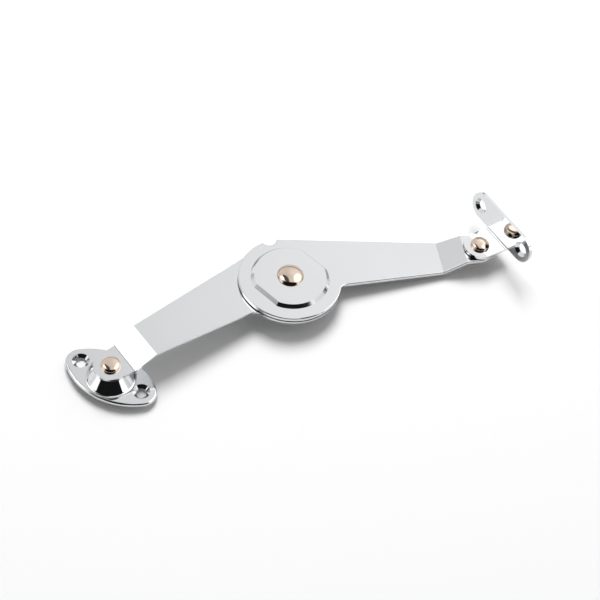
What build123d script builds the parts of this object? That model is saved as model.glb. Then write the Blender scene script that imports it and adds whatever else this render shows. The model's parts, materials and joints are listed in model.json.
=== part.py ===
"""Friction lid stay: two pressed arms on a riveted friction hub, an oval base plate and a lid bracket.

Units are millimetres and degrees.  The base plate lies on z = 0 with its pivot on the origin and its
two screw holes on the X axis.  Both arms are the same pressing: the lower one is turned over, so
that its end steps down to the base plate while the upper one steps up to the lid bracket.
"""
import math
import os

from build123d import *

# Sheet and fits
sheet = 1.5                 # thickness of every pressed steel part
edge_round = 0.45           # rounding that the press leaves on outer edges
bend_radius = 1.6           # inside radius of the bends in the arms
bore_clearance = 0.05       # radial play of a rivet shank in the piece that turns on it
seat_clearance = 0.15       # radial play of the loose washers and discs

# Oval base plate
plate_width = 24.0
plate_side_radius = 30.0    # radius of the two long sides
plate_end_radius = 6.5
plate_edge_round = 0.9
base_hole_pitch = 30.0
screw_hole_radius = 2.3
screw_sink_radius = 3.7     # radius of the 90 degree countersinks on the surface
boss_base_radius = 10.4
boss_top_radius = 6.4
boss_height = 7.0           # top of the pressed boss over the underside of the plate
boss_foot_round = 1.2
boss_top_round = 1.5
boss_wall = 1.25            # across its drawn side

# Arms
arm_length = 88.0           # along the blade, from beside the hub to the end pivot
arm_offset = 7.6            # sideways, from the hub to the middle of the blade
hub_radius = 23.1
blade_inset = 0.6           # from the hub's rim to the blade's far edge, beside the hub
blade_end_radius = 7.3      # round end of the blade
joggle_gap = 6.9            # from the second bend to the end pivot
joggle_run = 9.9            # from the first bend to the second
joggle_rise = 5.6
root_fillet = 3.6           # inner corner between the hub and the blade
notch_angle = 105.5         # rim notch, from the direction of the blade
notch_radius = 3.4
notch_centre = 23.8         # distance of its centre from the hub's centre

# Pressed double-D pocket in each hub, with the friction stack inside
pocket_depth = 1.4
pocket_rim = 5.6            # flat rim of the hub around the foot of the raised wall
pocket_flat_inset = 1.6     # how far the two flats lie inside the round of the double-D
pocket_flat_angle = 38.0    # direction of the flats' normal, from the direction of the blade
pocket_thinning = 0.2       # how much smaller the pocket is than the raised wall, at the foot of each
pocket_slope = 45.0         # lean of its walls
pocket_corner = 3.0         # corners between its round and flat walls
hub_gap = 0.7               # between the flat rims of the two hubs
lining_thickness = 0.8
lining_inset = 2.5          # edge of the lining, inside the foot of the raised wall
disc_thickness = 0.8
spring_inset = 2.9          # edge of the disc springs, inside the foot of the flats
spring_thickness = 0.35

# Hub rivet
hub_shank_radius = 4.0
hub_head_radius = 6.0
hub_head_height = 2.5
hub_washer_radius = 7.2
hub_washer_thickness = 1.0
hub_tail_radius = 5.6
hub_tail_height = 1.6

# End rivets
end_shank_radius = 2.5
end_head_radius = 4.25
end_head_height = 2.2
end_washer_radius = 4.7
end_washer_thickness = 0.8
end_tail_radius = 3.9
end_tail_height = 1.4
thrust_washer_radius = 5.6
thrust_washer_thickness = 0.5
head_rim = 0.45             # straight edge under each rivet's dome, as a share of the dome's height

# Lid bracket
bracket_length = 41.0
bracket_height = 14.3       # of the upright plate over the top of the tab
bracket_corner = 6.6
bracket_hole_pitch = 29.5
bracket_hole_height = 7.1   # over the top of the tab
bracket_bend_radius = 1.0   # inside radius
tab_width = 14.6
tab_reach = 9.8             # from the pivot to the face of the upright plate
tab_end_flat = 0.1          # left straight at the middle of the tab's round end
bracket_foot = 0.4          # lower edge of the upright plate over the top of the tab

# How the joints stand
lower_arm_angle = 65.1      # blade of the lower arm, from the base plate's hole line
arm_opening = 150.9         # angle between the two blades
bracket_turn = 23.4         # lid bracket against the upper blade

# Worked out from the values above
blade_hub_radius = hub_radius - arm_offset - blade_inset    # half width of the blade beside the hub
joggle_end = arm_length - joggle_gap                        # second bend, along the blade
joggle_start = joggle_end - joggle_run                      # first bend
pocket_radius = hub_radius - pocket_rim
pocket_flat = pocket_radius - pocket_flat_inset             # distance of the two flats from the centre
lining_radius = pocket_radius - lining_inset
spring_radius = pocket_flat - spring_inset
base_tab_top = boss_height + thrust_washer_thickness + sheet
lower_inner_z = base_tab_top + joggle_rise
upper_inner_z = lower_inner_z + hub_gap
hub_middle_z = lower_inner_z + hub_gap / 2
upper_angle = lower_arm_angle + arm_opening - 180
pad_top_z = upper_inner_z + joggle_rise + sheet
bracket_tab_z = pad_top_z + thrust_washer_thickness
spring_height = pocket_depth + hub_gap / 2 - lining_thickness / 2 - disc_thickness


def direction(angle):
    """Unit vector in the XY plane at an angle from X."""
    return Vector(math.cos(math.radians(angle)), math.sin(math.radians(angle)), 0)


def flat_frame(point, angle, height, turned_over=False):
    """Plane at a point and height, with its x axis at an angle and its z axis up, or down if turned over."""
    z_dir = (0, 0, -1) if turned_over else (0, 0, 1)
    return Plane(origin=(point.X, point.Y, height), x_dir=direction(angle), z_dir=z_dir)


base_pivot = Vector(0, 0, 0)
hub_centre = base_pivot + direction(lower_arm_angle) * arm_length - direction(lower_arm_angle + 90) * arm_offset
lid_pivot = hub_centre + direction(upper_angle) * arm_length + direction(upper_angle + 90) * arm_offset

lower_frame = flat_frame(hub_centre, lower_arm_angle + 180, lower_inner_z, turned_over=True)
upper_frame = flat_frame(hub_centre, upper_angle, upper_inner_z)
bracket_frame = flat_frame(lid_pivot, upper_angle + bracket_turn, bracket_tab_z)


def end_plane(frame):
    """Plane on the outer face of an arm's round end, on the pivot, that looks away from the other arm."""
    return frame * Location((arm_length, arm_offset, joggle_rise + sheet))


def double_d(radius, flat):
    """Circle with two parallel flats and rounded corners, in the arm's own coordinates."""
    with BuildSketch(mode=Mode.PRIVATE) as outline:
        Circle(radius)
        Rectangle(2 * flat, 2 * radius, mode=Mode.INTERSECT)
        fillet(outline.vertices(), pocket_corner)
    return outline.sketch.rotate(Axis.Z, pocket_flat_angle)


def blade_edge(side):
    """Straight edge of the blade, tangent to its two ends, from the hub's rim to the round end.

    The side is +1 for the edge away from the hub's centre and -1 for the other one.
    """
    taper = math.asin((blade_hub_radius - blade_end_radius) / arm_length)
    normal = Vector(math.sin(taper), side * math.cos(taper))
    along = Vector(math.cos(taper), -side * math.sin(taper))
    beside_hub = Vector(0, arm_offset) + normal * blade_hub_radius
    at_end = Vector(arm_length, arm_offset) + normal * blade_end_radius
    half = beside_hub.dot(along)
    root = math.sqrt(half**2 + hub_radius**2 - beside_hub.dot(beside_hub))
    at_hub = beside_hub - along * (half + side * root)
    return at_hub, at_end


def arm_outline():
    """Flat outline of the arm about the hub's centre, with the blade along x."""
    hub_top, end_top = blade_edge(+1)
    hub_bottom, end_bottom = blade_edge(-1)
    notch = Vector(notch_centre, 0).rotate(Axis.Z, notch_angle)
    with BuildSketch(mode=Mode.PRIVATE) as outline:
        with BuildLine():
            Line(hub_top, end_top)
            ThreePointArc(end_top, (arm_length + blade_end_radius, arm_offset), end_bottom)
            Line(end_bottom, hub_bottom)
            ThreePointArc(hub_bottom, (-hub_radius, 0), hub_top)
        make_face()
        fillet(outline.vertices().sort_by(Axis.Y)[0], root_fillet)
        with Locations(notch):
            Circle(notch_radius, mode=Mode.SUBTRACT)
    return outline.sketch


def rim_edges(piece, frame):
    """Edges between the sheet's cut side and its face on the frame's upper side."""
    upper_faces = piece.faces().filter_by(lambda face: face.normal_at().dot(frame.z_dir) > 0.3)
    cut_faces = piece.faces().filter_by(lambda face: abs(face.normal_at().dot(frame.z_dir)) < 0.01)
    cut_edges = cut_faces.edges()
    return upper_faces.edges().filter_by(lambda edge: edge in cut_edges)


def pressed_arm(frame):
    """One arm.  Its inner face, which looks at the other arm, lies in the frame's XY plane."""
    slope = math.degrees(math.atan2(joggle_rise, joggle_run))
    lean = sheet * math.tan(math.radians(slope / 2))
    tail = -hub_radius - sheet
    tip = arm_length + blade_end_radius + sheet
    side = Plane(origin=frame.origin, x_dir=frame.x_dir, z_dir=-frame.y_dir)
    with BuildPart() as arm:
        with BuildSketch(side) as section:
            with BuildLine():
                Polyline(
                    (tail, 0), (joggle_start, 0), (joggle_end, joggle_rise), (tip, joggle_rise),
                    (tip, joggle_rise + sheet), (joggle_end - lean, joggle_rise + sheet),
                    (joggle_start - lean, sheet), (tail, sheet), close=True)
            make_face()
            bends = section.vertices().sort_by(Axis.X)[2:6].sort_by(Axis.Y)
            fillet([bends[1], bends[2]], bend_radius)
            fillet([bends[0], bends[3]], bend_radius + sheet)
        extrude(amount=2 * hub_radius, both=True)
        with BuildSketch(frame.offset(-sheet)):
            add(arm_outline())
        extrude(amount=joggle_rise + 3 * sheet, mode=Mode.INTERSECT)
        fillet(rim_edges(arm, frame), edge_round)
        with BuildSketch(frame.offset(sheet)):
            add(double_d(pocket_radius, pocket_flat))
        extrude(amount=pocket_depth, taper=pocket_slope)
        with BuildSketch(frame):
            add(double_d(pocket_radius - pocket_thinning, pocket_flat - pocket_thinning))
        extrude(amount=pocket_depth, taper=pocket_slope, mode=Mode.SUBTRACT)
        with Locations(frame.offset(sheet + pocket_depth)):
            Hole(hub_shank_radius + bore_clearance)
        with Locations(end_plane(frame)):
            Hole(end_shank_radius + bore_clearance)
    return arm


def dome(radius, height, base_z):
    """Half section of a rivet's domed head from its rim to its top, about x = 0, on a base at base_z."""
    rim = abs(height) * head_rim
    rise = abs(height) - rim
    ball = (radius**2 + rise**2) / (2 * rise)
    half = math.asin(radius / ball) / 2
    up = math.copysign(1, height)
    middle = (ball * math.sin(half), base_z + up * (abs(height) - ball * (1 - math.cos(half))))
    Line((radius, base_z), (radius, base_z + up * rim))
    ThreePointArc((radius, base_z + up * rim), middle, (0, base_z + height))


def rivet(point, head_z, tail_z, shank, head, head_height, tail, tail_height):
    """Upright rivet about a point: a domed head on top at head_z and a smaller formed tail below tail_z."""
    section = Plane(origin=(point.X, point.Y, 0), x_dir=(1, 0, 0), z_dir=(0, -1, 0))
    with BuildPart() as piece:
        with BuildSketch(section):
            with BuildLine():
                dome(head, head_height, head_z)
                Polyline((head, head_z), (shank, head_z), (shank, tail_z), (tail, tail_z))
                dome(tail, -tail_height, tail_z)
                Line((0, tail_z - tail_height), (0, head_z + head_height))
            make_face()
        revolve(axis=Axis((point.X, point.Y, 0), (0, 0, 1)))
    return piece


def washer(point, base_z, thickness, outer, bore):
    """Flat ring about a point, from base_z up."""
    with BuildPart() as piece:
        with BuildSketch(flat_frame(point, 0, base_z)):
            Circle(outer)
            Circle(bore, mode=Mode.SUBTRACT)
        extrude(amount=thickness)
    return piece


def keyed_disc(frame):
    """Steel disc that its two flats carry round with the arm: it stands in the arm's pocket."""
    height = pocket_depth - spring_height - disc_thickness
    narrowing = pocket_thinning + (height + disc_thickness) * math.tan(math.radians(pocket_slope))
    with BuildPart() as piece:
        with BuildSketch(frame.offset(height)):
            add(double_d(pocket_radius - narrowing - seat_clearance, pocket_flat - narrowing - seat_clearance))
            Circle(hub_shank_radius + seat_clearance, mode=Mode.SUBTRACT)
        extrude(amount=disc_thickness)
    return piece


def disc_spring(frame):
    """Slightly coned spring washer between the pocket's floor and the keyed disc."""
    floor = pocket_depth
    section = Plane(origin=frame.origin, x_dir=frame.x_dir, z_dir=-frame.y_dir)
    bore = hub_shank_radius + seat_clearance
    with BuildPart() as piece:
        with BuildSketch(section):
            with BuildLine():
                Polyline(
                    (bore, floor), (bore, floor - spring_thickness), (spring_radius, floor - spring_height),
                    (spring_radius, floor - spring_height + spring_thickness), close=True)
            make_face()
        revolve(axis=Axis(frame.origin, frame.z_dir))
    return piece


# Base plate: oval, with countersunk screw holes and a hollow boss drawn up for the pivot
side_shift = plate_side_radius - plate_width / 2
boss_lean = math.atan2(boss_height - sheet, boss_base_radius - boss_top_radius)
boss_hollow_height = boss_height - sheet
boss_hollow_top = boss_top_radius + sheet / math.tan(boss_lean) - boss_wall / math.sin(boss_lean)
boss_hollow_foot = boss_hollow_top + boss_hollow_height / math.tan(boss_lean)
with BuildPart() as base_plate:
    with BuildSketch() as oval:
        with Locations((0, -side_shift)):
            Circle(plate_side_radius)
        with Locations((0, side_shift)):
            Circle(plate_side_radius, mode=Mode.INTERSECT)
        fillet(oval.vertices().filter_by(lambda tip: abs(tip.Y) < plate_width / 4), plate_end_radius)
    extrude(amount=sheet)
    fillet(base_plate.edges().group_by(Axis.Z)[-1], plate_edge_round)
    with BuildSketch(Plane.XZ):
        Polygon((0, 0), (boss_base_radius, 0), (boss_base_radius, sheet),
                (boss_top_radius, boss_height), (0, boss_height), align=None)
    revolve(axis=Axis.Z)
    boss_circles = base_plate.edges().filter_by(GeomType.CIRCLE).filter_by(
        lambda edge: edge.arc_center.length < boss_height + sheet)
    fillet(boss_circles.group_by(Axis.Z)[-1], boss_top_round)
    foot_circle = base_plate.edges().filter_by(GeomType.CIRCLE).filter_by(
        lambda edge: abs(edge.radius - boss_base_radius) < edge_round and abs(edge.arc_center.Z - sheet) < edge_round)
    fillet(foot_circle, boss_foot_round)
    with BuildSketch(Plane.XZ):
        Polygon((0, 0), (boss_hollow_foot, 0), (boss_hollow_top, boss_hollow_height),
                (0, boss_hollow_height), align=None)
    revolve(axis=Axis.Z, mode=Mode.SUBTRACT)
    with Locations((0, 0, boss_height)):
        Hole(end_shank_radius + bore_clearance)
    with Locations((-base_hole_pitch / 2, 0, sheet), (base_hole_pitch / 2, 0, sheet)):
        CounterSinkHole(screw_hole_radius, screw_sink_radius, counter_sink_angle=90)
base_plate.part.label = "base_plate"

# Lid bracket: a tab that turns on the upper arm, bent up into a cross plate with two screw holes
tab_end = -tab_width / 2
upright_back = tab_reach + sheet
bracket_side = Plane(origin=bracket_frame.origin, x_dir=bracket_frame.x_dir, z_dir=-bracket_frame.y_dir)
upright_face = bracket_frame.origin + bracket_frame.x_dir * tab_reach + bracket_frame.z_dir * sheet
with BuildPart() as lid_bracket:
    with BuildSketch(bracket_side) as tab_section:
        with BuildLine():
            Polyline(
                (tab_end, 0), (upright_back, 0), (upright_back, bracket_hole_height), (tab_reach, bracket_hole_height),
                (tab_reach, sheet), (tab_end, sheet), close=True)
        make_face()
        bend = tab_section.vertices().filter_by(lambda corner: corner.X > 0).sort_by(Axis.Y)
        fillet(bend[1], bracket_bend_radius)
        fillet(bend[0], bracket_bend_radius + sheet)
    extrude(amount=tab_width / 2, both=True)
    tab_corners = lid_bracket.edges().filter_by(Axis.Z).sort_by(Axis(bracket_frame.origin, bracket_frame.x_dir))[:2]
    fillet(tab_corners, (tab_width - tab_end_flat) / 2)
    with BuildSketch(Plane(origin=upright_face, x_dir=bracket_frame.y_dir, z_dir=bracket_frame.x_dir)):
        with Locations((0, (bracket_foot + bracket_height) / 2)):
            RectangleRounded(bracket_length, bracket_height - bracket_foot, bracket_corner)
    extrude(amount=sheet)
    with Locations(bracket_frame.offset(sheet)):
        Hole(end_shank_radius + bore_clearance)
    with Locations(Plane(origin=upright_face, x_dir=bracket_frame.y_dir, z_dir=-bracket_frame.x_dir)):
        with Locations((-bracket_hole_pitch / 2, -bracket_hole_height), (bracket_hole_pitch / 2, -bracket_hole_height)):
            CounterSinkHole(screw_hole_radius, screw_sink_radius, counter_sink_angle=90)
lid_bracket.part.label = "lid_bracket"

# Arms
lower_arm = pressed_arm(lower_frame)
lower_arm.part.label = "lower_arm"
upper_arm = pressed_arm(upper_frame)
upper_arm.part.label = "upper_arm"

# Friction stack between the hubs
lower_keyed_disc = keyed_disc(lower_frame)
lower_keyed_disc.part.label = "lower_keyed_disc"
upper_keyed_disc = keyed_disc(upper_frame)
upper_keyed_disc.part.label = "upper_keyed_disc"
lower_disc_spring = disc_spring(lower_frame)
lower_disc_spring.part.label = "lower_disc_spring"
upper_disc_spring = disc_spring(upper_frame)
upper_disc_spring.part.label = "upper_disc_spring"
friction_lining = washer(
    hub_centre, hub_middle_z - lining_thickness / 2, lining_thickness, lining_radius, hub_shank_radius + seat_clearance)
friction_lining.part.label = "friction_lining"

# Hub rivet and its backing washer
hub_top_z = upper_inner_z + sheet + pocket_depth
hub_bottom_z = lower_inner_z - sheet - pocket_depth
hub_backing_washer = washer(
    hub_centre, hub_bottom_z - hub_washer_thickness, hub_washer_thickness, hub_washer_radius,
    hub_shank_radius + bore_clearance)
hub_backing_washer.part.label = "hub_backing_washer"
hub_rivet = rivet(
    hub_centre, hub_top_z, hub_bottom_z - hub_washer_thickness, hub_shank_radius,
    hub_head_radius, hub_head_height, hub_tail_radius, hub_tail_height)
hub_rivet.part.label = "hub_rivet"

# Rivet and washers of the base pivot
base_thrust_washer = washer(
    base_pivot, boss_height, thrust_washer_thickness, thrust_washer_radius, end_shank_radius + seat_clearance)
base_thrust_washer.part.label = "base_thrust_washer"
base_backing_washer = washer(
    base_pivot, boss_hollow_height - end_washer_thickness, end_washer_thickness, end_washer_radius,
    end_shank_radius + bore_clearance)
base_backing_washer.part.label = "base_backing_washer"
base_rivet = rivet(
    base_pivot, base_tab_top, boss_hollow_height - end_washer_thickness, end_shank_radius,
    end_head_radius, end_head_height, end_tail_radius, end_tail_height)
base_rivet.part.label = "base_rivet"

# Rivet and washers of the bracket pivot
pad_bottom_z = pad_top_z - sheet
bracket_thrust_washer = washer(
    lid_pivot, pad_top_z, thrust_washer_thickness, thrust_washer_radius, end_shank_radius + seat_clearance)
bracket_thrust_washer.part.label = "bracket_thrust_washer"
bracket_backing_washer = washer(
    lid_pivot, pad_bottom_z - end_washer_thickness, end_washer_thickness, end_washer_radius,
    end_shank_radius + bore_clearance)
bracket_backing_washer.part.label = "bracket_backing_washer"
bracket_rivet = rivet(
    lid_pivot, bracket_tab_z + sheet, pad_bottom_z - end_washer_thickness, end_shank_radius,
    end_head_radius, end_head_height, end_tail_radius, end_tail_height)
bracket_rivet.part.label = "bracket_rivet"

os.makedirs("parts", exist_ok=True)
pieces = [
    base_plate, base_thrust_washer, base_backing_washer, base_rivet,
    lower_arm, lower_disc_spring, lower_keyed_disc, friction_lining, upper_keyed_disc, upper_disc_spring, upper_arm,
    hub_backing_washer, hub_rivet,
    lid_bracket, bracket_thrust_washer, bracket_backing_washer, bracket_rivet,
]
for piece in pieces:
    export_step(piece.part, f"parts/{piece.part.label}.step")
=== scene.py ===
"""Friction lid stay: camera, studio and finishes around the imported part.  Metres, watts and degrees."""
import json
import math
from collections import namedtuple

import bmesh
import bpy
from mathutils import Matrix, Vector
from mathutils.geometry import intersect_ray_tri


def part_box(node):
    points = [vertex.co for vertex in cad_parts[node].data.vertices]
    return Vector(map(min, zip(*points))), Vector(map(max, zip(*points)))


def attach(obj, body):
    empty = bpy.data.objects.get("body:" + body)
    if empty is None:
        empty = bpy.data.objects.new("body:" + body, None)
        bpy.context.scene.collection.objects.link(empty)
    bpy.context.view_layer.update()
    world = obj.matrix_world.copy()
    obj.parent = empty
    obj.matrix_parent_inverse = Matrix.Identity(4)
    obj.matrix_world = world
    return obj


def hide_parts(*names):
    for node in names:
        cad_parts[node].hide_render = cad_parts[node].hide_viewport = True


Patch = namedtuple("Patch", "azimuth elevation half_width half_height level softness")
RivetForm = namedtuple("RivetForm", "head_radius head_height head_fullness shank_radius tail_radius tail_height")

# Camera
camera_azimuth = -70.9      # where the camera stands, from +X about +Z
camera_elevation = 50.85
camera_roll = 10.33
camera_distance = 0.5168
camera_aim = (0.01081, -0.01273, 0.005)     # from the middle of the hub, on its flat rim
rim_height = 0.0168         # of the hub's flat rim
camera_lens = 72.0          # in millimetres, like the sensor
camera_sensor = 36.0

# Floor
floor_size = 6.0            # from its middle to each side
floor_colour = 0.85
floor_glow = 0.04           # seen by the camera and in mirrors
floor_tilt_limit = 0.9      # least cosine between the floor's normal and the part's vertical

# Tent: white all round, with panels, gaps and the dark room behind the camera
tent_level = 0.95
diffuse_share = 0.40        # of the tent's light that falls on matt surfaces; the lamp gives the rest
tent_patches = (
    Patch(125, 55, 24, 26, 0.84, 0.9),      # behind on the left: a shade darker
    Patch(80, 45, 26, 22, 1.14, 0.9),       # behind on the right: a shade brighter
    Patch(169, 30, 12, 14, 0.86, 0.6),      # under the gap beside the left panel
    Patch(109, 5, 70, 15, 0.40, 0.5),       # horizon behind
    Patch(166, 63, 7, 12, 0.04, 0.3),       # gap beside the left panel
    Patch(215, 75, 26, 12, 0.10, 0.4),      # gap between the panels overhead
    Patch(295, 30, 60, 40, 0.01, 0.2),      # dark room behind the camera
    Patch(196, 4, 9, 8, 0.02, 0.2),         # dark stand on the left
    Patch(228, 10, 15, 13, 1.5, 0.1),       # low white card on the left
    Patch(0, 12, 12, 16, 1.5, 0.1),         # low white card on the right
    Patch(199, 50, 16, 14, 2.4, 0.15),      # panel on the left
    Patch(42, 50, 29, 23, 2.0, 0.15),       # panel on the right
)

# Lamp: large and soft, from behind on the left
key_azimuth = 130.0
key_elevation = 62.0
key_distance = 2.0
key_size = 1.1
key_power = 42.0

# Rivets; a fullness of 2 makes a dome elliptical, and more makes it flatter on top
hub_form = RivetForm(
    head_radius=0.0060, head_height=0.0025, head_fullness=2.0,
    shank_radius=0.0040, tail_radius=0.0056, tail_height=0.0016)
end_form = RivetForm(
    head_radius=0.00425, head_height=0.0022, head_fullness=2.8,
    shank_radius=0.0025, tail_radius=0.0039, tail_height=0.0014)
tail_fullness = 2.6
crown_share = 1 / 200       # of a dome's radius: the smallest ring, at its top
turns = 96                  # sides of a turned piece
dome_steps = 16
sharp_angle = 40.0          # edges that turn more stay crisp

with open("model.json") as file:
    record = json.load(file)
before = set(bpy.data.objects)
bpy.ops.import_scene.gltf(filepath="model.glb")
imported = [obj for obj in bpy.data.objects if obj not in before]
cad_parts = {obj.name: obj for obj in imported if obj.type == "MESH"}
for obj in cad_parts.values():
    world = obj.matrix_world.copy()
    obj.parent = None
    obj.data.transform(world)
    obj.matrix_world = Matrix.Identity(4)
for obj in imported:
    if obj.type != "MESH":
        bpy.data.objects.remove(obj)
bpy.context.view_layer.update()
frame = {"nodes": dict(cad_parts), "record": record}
nodes = frame["nodes"]


# Places and directions
def direction(azimuth, elevation=0.0):
    """Unit vector at an azimuth from +X about +Z and an elevation over the XY plane."""
    flat = math.cos(math.radians(elevation))
    return Vector((
        flat * math.cos(math.radians(azimuth)), flat * math.sin(math.radians(azimuth)),
        math.sin(math.radians(elevation))))


def middle(node):
    """Middle of a CAD node's box."""
    low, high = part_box(node)
    return (low + high) / 2


def looking(eye, towards, roll=0.0):
    """World matrix of a camera or lamp at a point that looks along a direction, rolled about it."""
    back = -towards.normalized()
    right = Vector((0, 0, 1)).cross(back).normalized()
    turned_right = Matrix.Rotation(math.radians(roll), 3, back) @ right
    matrix = Matrix((turned_right, back.cross(turned_right), back)).transposed().to_4x4()
    matrix.translation = eye
    return matrix


def resting_plane():
    """Point on, and upward normal of, the plane that the free stay lies on: the hull face under its middle."""
    surface = [
        (face.center, face.area) for node in nodes.values() for face in node.data.polygons]
    total = sum(area for _, area in surface)
    balance = sum((centre * area for centre, area in surface), Vector()) / total
    hull = bmesh.new()
    for node in nodes.values():
        for vertex in node.data.vertices:
            hull.verts.new(vertex.co)
    bmesh.ops.convex_hull(hull, input=hull.verts)
    for face in hull.faces:
        corners = [vertex.co for vertex in face.verts]
        if face.normal.z < -floor_tilt_limit and intersect_ray_tri(*corners[:3], face.normal, balance, True):
            return corners[0].copy(), -face.normal
    raise RuntimeError("no hull face lies under the stay's middle")


def place(name, data, matrix):
    """Adds an object with its data to the scene at a world matrix."""
    placed = bpy.data.objects.new(name, data)
    placed.matrix_world = matrix
    bpy.context.scene.collection.objects.link(placed)
    return placed


# Shader nodes
def new_material(name):
    """Empty node material; returns it with its node tree and output."""
    material = bpy.data.materials.new(name)
    material.use_nodes = True
    tree = material.node_tree
    tree.nodes.clear()
    return material, tree, tree.nodes.new("ShaderNodeOutputMaterial")


def feed(tree, socket, value):
    """Links another node's output to a socket, or sets the socket to a constant."""
    if isinstance(value, bpy.types.NodeSocket):
        tree.links.new(value, socket)
    else:
        socket.default_value = value


def calculate(tree, kind, operation, *values):
    """Value of a new Math or VectorMath node."""
    node = tree.nodes.new("ShaderNode" + kind)
    node.operation = operation
    for socket, value in zip(node.inputs, values):
        feed(tree, socket, value)
    return node.outputs["Value"]


def blend(tree, share, first, second):
    """Goes from a first level to a second one as the share goes from 0 to 1."""
    mix = tree.nodes.new("ShaderNodeMix")
    for index, value in ((0, share), (2, first), (3, second)):
        feed(tree, mix.inputs[index], value)
    return mix.outputs[0]


# Floor under the resting stay
floor_point, floor_up = resting_plane()
floor_mesh = bpy.data.meshes.new("floor")
floor_mesh.from_pydata(
    [(x * floor_size, y * floor_size, 0) for x, y in ((-1, -1), (1, -1), (1, 1), (-1, 1))], [], [(0, 1, 2, 3)])
place(
    "floor", floor_mesh,
    Matrix.Translation(floor_point) @ floor_up.to_track_quat("Z", "Y").to_matrix().to_4x4())

material, tree, output = new_material("floor")
paper = tree.nodes.new("ShaderNodeBsdfDiffuse")
paper.inputs["Color"].default_value = (floor_colour, floor_colour, floor_colour, 1)
glow = tree.nodes.new("ShaderNodeEmission")
path = tree.nodes.new("ShaderNodeLightPath")
seen = calculate(tree, "Math", "MAXIMUM", path.outputs["Is Camera Ray"], path.outputs["Is Glossy Ray"])
feed(tree, glow.inputs["Strength"], calculate(tree, "Math", "MULTIPLY", seen, floor_glow))
both = tree.nodes.new("ShaderNodeAddShader")
tree.links.new(paper.outputs[0], both.inputs[0])
tree.links.new(glow.outputs[0], both.inputs[1])
tree.links.new(both.outputs[0], output.inputs["Surface"])
floor_mesh.materials.append(material)

# Tent
world = bpy.data.worlds.new("tent")
bpy.context.scene.world = world
world.use_nodes = True
sky = world.node_tree
sky.nodes.clear()
sky_out = sky.nodes.new("ShaderNodeOutputWorld")
light = sky.nodes.new("ShaderNodeBackground")
light.inputs["Color"].default_value = (1, 1, 1, 1)
sky.links.new(light.outputs[0], sky_out.inputs["Surface"])
ray = sky.nodes.new("ShaderNodeTexCoord").outputs["Generated"]


def overlay(level, patch):
    """Lays a soft-edged oval patch over the tent, and returns the new level."""
    centre = direction(patch.azimuth, patch.elevation)
    side = direction(patch.azimuth + 90)
    over = centre.cross(side)
    squares = []
    for axis, reach in ((side, patch.half_width), (over, patch.half_height)):
        along = calculate(sky, "VectorMath", "DOT_PRODUCT", ray, axis / math.sin(math.radians(reach)))
        squares.append(calculate(sky, "Math", "MULTIPLY", along, along))
    edge = sky.nodes.new("ShaderNodeMapRange")
    edge.interpolation_type = "SMOOTHSTEP"
    edge.inputs["From Min"].default_value = 1 + patch.softness
    edge.inputs["From Max"].default_value = 1 - patch.softness
    feed(sky, edge.inputs["Value"], calculate(sky, "Math", "ADD", *squares))
    ahead = calculate(
        sky, "Math", "GREATER_THAN", calculate(sky, "VectorMath", "DOT_PRODUCT", ray, centre), 0)
    mask = calculate(sky, "Math", "MULTIPLY", edge.outputs[0], ahead)
    return blend(sky, mask, level, patch.level)


level = tent_level
for tent_patch in tent_patches:
    level = overlay(level, tent_patch)
on_matt = calculate(sky, "Math", "MULTIPLY", level, diffuse_share)
diffuse_ray = sky.nodes.new("ShaderNodeLightPath").outputs["Is Diffuse Ray"]
feed(sky, light.inputs["Strength"], blend(sky, diffuse_ray, level, on_matt))

# Lamp
key = bpy.data.lights.new("key", "AREA")
key.shape = "DISK"
key.size = key_size
key.energy = key_power
key_towards = -direction(key_azimuth, key_elevation)
key_lamp = place("key", key, looking(middle("hub_rivet") - key_towards * key_distance, key_towards))
key_lamp.visible_glossy = False


# Finishes
def finish(name, colour, metallic, roughness, spread, grain, ripple):
    """Node material: noise of a grain size varies the roughness and lifts the surface by the ripple."""
    material, tree, output = new_material(name)
    shader = tree.nodes.new("ShaderNodeBsdfPrincipled")
    shader.inputs["Metallic"].default_value = metallic
    coordinates = tree.nodes.new("ShaderNodeTexCoord").outputs["Object"]
    noise = tree.nodes.new("ShaderNodeTexNoise")
    noise.inputs["Scale"].default_value = 1 / grain
    noise.inputs["Detail"].default_value = 4
    tree.links.new(coordinates, noise.inputs["Vector"])
    rough = tree.nodes.new("ShaderNodeMapRange")
    rough.inputs["To Min"].default_value = roughness - spread
    rough.inputs["To Max"].default_value = roughness + spread
    tree.links.new(noise.outputs["Fac"], rough.inputs["Value"])
    tree.links.new(rough.outputs[0], shader.inputs["Roughness"])
    cloud = tree.nodes.new("ShaderNodeTexNoise")
    cloud.inputs["Scale"].default_value = 1 / (12 * grain)
    tree.links.new(coordinates, cloud.inputs["Vector"])
    tint = tree.nodes.new("ShaderNodeMix")
    tint.data_type = "RGBA"
    tint.inputs[6].default_value = (*(0.97 * c for c in colour), 1)
    tint.inputs[7].default_value = (*(1.03 * c for c in colour), 1)
    tree.links.new(cloud.outputs["Fac"], tint.inputs[0])
    tree.links.new(tint.outputs[2], shader.inputs["Base Color"])
    bump = tree.nodes.new("ShaderNodeBump")
    bump.inputs["Distance"].default_value = ripple
    tree.links.new(noise.outputs["Fac"], bump.inputs["Height"])
    tree.links.new(bump.outputs[0], shader.inputs["Normal"])
    tree.links.new(shader.outputs[0], output.inputs["Surface"])
    return material


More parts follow.
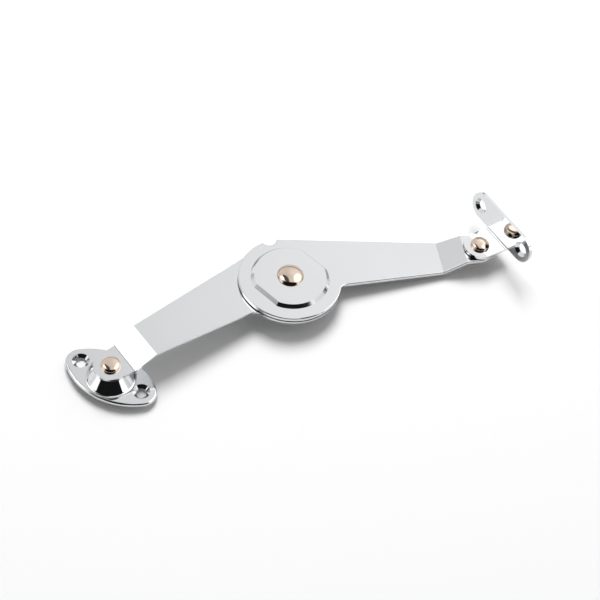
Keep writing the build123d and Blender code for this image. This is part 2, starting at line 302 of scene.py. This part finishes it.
chrome_colour = (0.70, 0.71, 0.72)
finishes = {
    "chrome": finish(
        "chrome", chrome_colour, metallic=1.0, roughness=0.05, spread=0.02, grain=0.006, ripple=2e-6),
    "rivet": finish(
        "rivet_nickel", (0.70, 0.57, 0.47), metallic=1.0, roughness=0.10, spread=0.04, grain=0.0015, ripple=4e-6),
    "washer": finish(
        "washer_zinc", (0.50, 0.50, 0.51), metallic=1.0, roughness=0.30, spread=0.10, grain=0.0006, ripple=4e-6),
    "spring": finish(
        "spring_steel", (0.24, 0.23, 0.22), metallic=1.0, roughness=0.34, spread=0.10, grain=0.0008, ripple=4e-6),
    "lining": finish(
        "lining_fibre", (0.055, 0.038, 0.026), metallic=0.0, roughness=0.85, spread=0.10, grain=0.0004, ripple=3e-5),
}
satin_chrome = finish(
    "chrome_satin", chrome_colour, metallic=1.0, roughness=0.13, spread=0.03, grain=0.003, ripple=3e-6)
slots = {entry["node"]: entry["material_slot"] for entry in frame["record"]["subparts"]}
for name, node in nodes.items():
    node.data.materials.clear()
    node.data.materials.append(satin_chrome if name in ("lower_arm", "upper_arm") else finishes[slots[name]])


# Rivets: heads as the closing punch leaves them, with a rounded shoulder
def turned(name, node, body, outline):
    """Solid of revolution that stands for an upright rivet; the outline runs from its top to its bottom."""
    shape = bmesh.new()
    centre = middle(node)
    previous = None
    for radius, height in outline:
        at = Vector((centre.x, centre.y, height))
        ring = [shape.verts.new(at + radius * direction(360 * step / turns)) for step in range(turns)]
        if previous:
            for step in range(turns):
                after = (step + 1) % turns
                shape.faces.new((previous[step], ring[step], ring[after], previous[after]))
        else:
            shape.faces.new(ring)
        previous = ring
    shape.faces.new(reversed(previous))
    bmesh.ops.recalc_face_normals(shape, faces=shape.faces)
    mesh = bpy.data.meshes.new(name)
    shape.to_mesh(mesh)
    shape.free()
    mesh.shade_smooth()
    mesh.set_sharp_from_angle(angle=math.radians(sharp_angle))
    mesh.materials.append(finishes["rivet"])
    piece = place(name, mesh, Matrix())
    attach(piece, body)
    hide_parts(node)


def dome(radius, base, height, fullness):
    """Outline of a dome from its top to its rim; a negative height makes it point down."""
    points = []
    for step in range(dome_steps + 1):
        angle = math.radians(90 * (1 - step / dome_steps))
        points.append((
            max(radius * math.cos(angle) ** (2 / fullness), radius * crown_share),
            base + height * math.sin(angle) ** (2 / fullness)))
    return points


def rivet_outline(node, form):
    """Outline of a whole rivet between the top and bottom of its CAD node."""
    low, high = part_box(node)
    head_base = high.z - form.head_height
    tail_base = low.z + form.tail_height
    head = dome(form.head_radius, head_base, form.head_height, form.head_fullness)
    tail = dome(form.tail_radius, tail_base, -form.tail_height, tail_fullness)
    return head + [(form.shank_radius, head_base), (form.shank_radius, tail_base)] + tail[::-1]


turned("hub_rivet_head", "hub_rivet", "lower_arm", rivet_outline("hub_rivet", hub_form))
turned("base_rivet_head", "base_rivet", "base", rivet_outline("base_rivet", end_form))
turned("bracket_rivet_head", "bracket_rivet", "upper_arm", rivet_outline("bracket_rivet", end_form))

# Camera
camera = bpy.data.cameras.new("camera")
camera.lens = camera_lens
camera.sensor_width = camera_sensor
rim = middle("hub_rivet").xy.to_3d() + Vector((0, 0, rim_height))
towards = -direction(camera_azimuth, camera_elevation)
bpy.context.scene.camera = place(
    "camera", camera, looking(rim + Vector(camera_aim) - towards * camera_distance, towards, camera_roll))

view = bpy.context.scene.view_settings
view.view_transform = "Standard"
